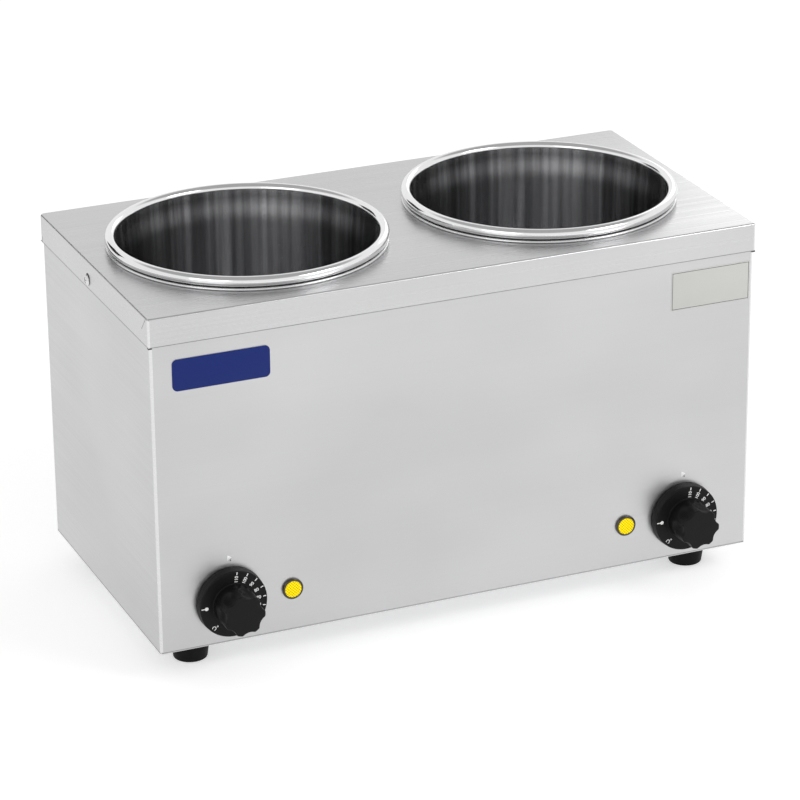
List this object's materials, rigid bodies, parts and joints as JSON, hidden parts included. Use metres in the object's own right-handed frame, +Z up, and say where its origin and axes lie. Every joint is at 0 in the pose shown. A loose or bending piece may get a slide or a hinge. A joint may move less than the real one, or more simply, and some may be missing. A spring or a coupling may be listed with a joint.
{
  "type": "soup warmer",
  "caption": "Rectangular stainless soup warmer with two lift-out round pots in water wells, dial knobs and pilot lamps on the front, on rubber feet.",
  "frame": {"origin": "middle of the overall box in plan, on the surface that the four feet stand on", "axes": "+Z up, -Y out of the front with the knobs, +X to the right seen from the front"},
  "size_m": [0.5048, 0.3034, 0.3057],
  "materials": {
    "casing_steel": "satin brushed stainless sheet",
    "tray_steel": "plain stainless sheet",
    "polished_steel": "bright polished stainless steel",
    "element_steel": "dull drawn tube",
    "seal_rubber": "silicone rubber",
    "nut_brass": "plain brass",
    "copper": "drawn copper",
    "thermostat_case": "pale moulded insulating case",
    "zinc_steel": "zinc-plated steel",
    "screw_steel": "bright stainless screw",
    "knob_plastic": "black moulded plastic, satin",
    "black_plastic": "black nylon",
    "lamp_rim_plastic": "dark amber plastic",
    "lamp_lens_plastic": "bright yellow ribbed plastic",
    "neon_glass": "pale lamp body",
    "terminal_plastic": "white moulded plastic",
    "foot_rubber": "black rubber"
  },
  "bodies": {
    "casing": {"back_left_foot": "foot_rubber", "back_panel": "casing_steel", "back_panel_screws": "screw_steel", "back_right_foot": "foot_rubber", "base_screws": "screw_steel", "base_tray": "tray_steel", "body_shell": "casing_steel", "cord_gland": "black_plastic", "cover_nuts": "zinc_steel", "cover_screws": "screw_steel", "earth_nut": "nut_brass", "earth_stud": "zinc_steel", "foot_nuts": "zinc_steel", "foot_screws": "zinc_steel", "front_left_foot": "foot_rubber", "front_right_foot": "foot_rubber", "gland_nut": "black_plastic", "left_element_nuts": "nut_brass", "left_element_seals": "seal_rubber", "left_heating_element": "element_steel", "left_lamp_lens": "lamp_lens_plastic", "left_lamp_nut": "black_plastic", "left_lamp_rim": "lamp_rim_plastic", "left_neon_lamp": "neon_glass", "left_sensor": "copper", "left_sensor_sleeve": "tray_steel", "left_thermostat": "thermostat_case", "left_well": "polished_steel", "right_element_nuts": "nut_brass", "right_element_seals": "seal_rubber", "right_heating_element": "element_steel", "right_lamp_lens": "lamp_lens_plastic", "right_lamp_nut": "black_plastic", "right_lamp_rim": "lamp_rim_plastic", "right_neon_lamp": "neon_glass", "right_sensor": "copper", "right_sensor_sleeve": "tray_steel", "right_thermostat": "thermostat_case", "right_well": "polished_steel", "terminal_block": "terminal_plastic", "terminal_screws": "nut_brass", "thermostat_screws": "zinc_steel", "top_cover": "casing_steel"},
    "left_pot": {"left_pot": "polished_steel"},
    "right_pot": {"right_pot": "polished_steel"},
    "left_control": {"left_knob": "knob_plastic", "left_thermostat_shaft": "zinc_steel"},
    "right_control": {"right_knob": "knob_plastic", "right_thermostat_shaft": "zinc_steel"}
  },
  "joints": [
    {"name": "left_pot_lift", "type": "slide", "parent": "casing", "child": "left_pot", "axis": [0, 0, 1], "range_m": [0, 0.23]},
    {"name": "left_knob_turn", "type": "hinge", "parent": "casing", "child": "left_control", "pos_m": [-0.1917, -0.11975, 0.058], "axis": [0, -1, 0], "range_deg": [0, 270]},
    {"name": "right_pot_lift", "type": "slide", "parent": "casing", "child": "right_pot", "axis": [0, 0, 1], "range_m": [0, 0.23]},
    {"name": "right_knob_turn", "type": "hinge", "parent": "casing", "child": "right_control", "pos_m": [0.1917, -0.11975, 0.058], "axis": [0, -1, 0], "range_deg": [0, 270]}
  ]
}
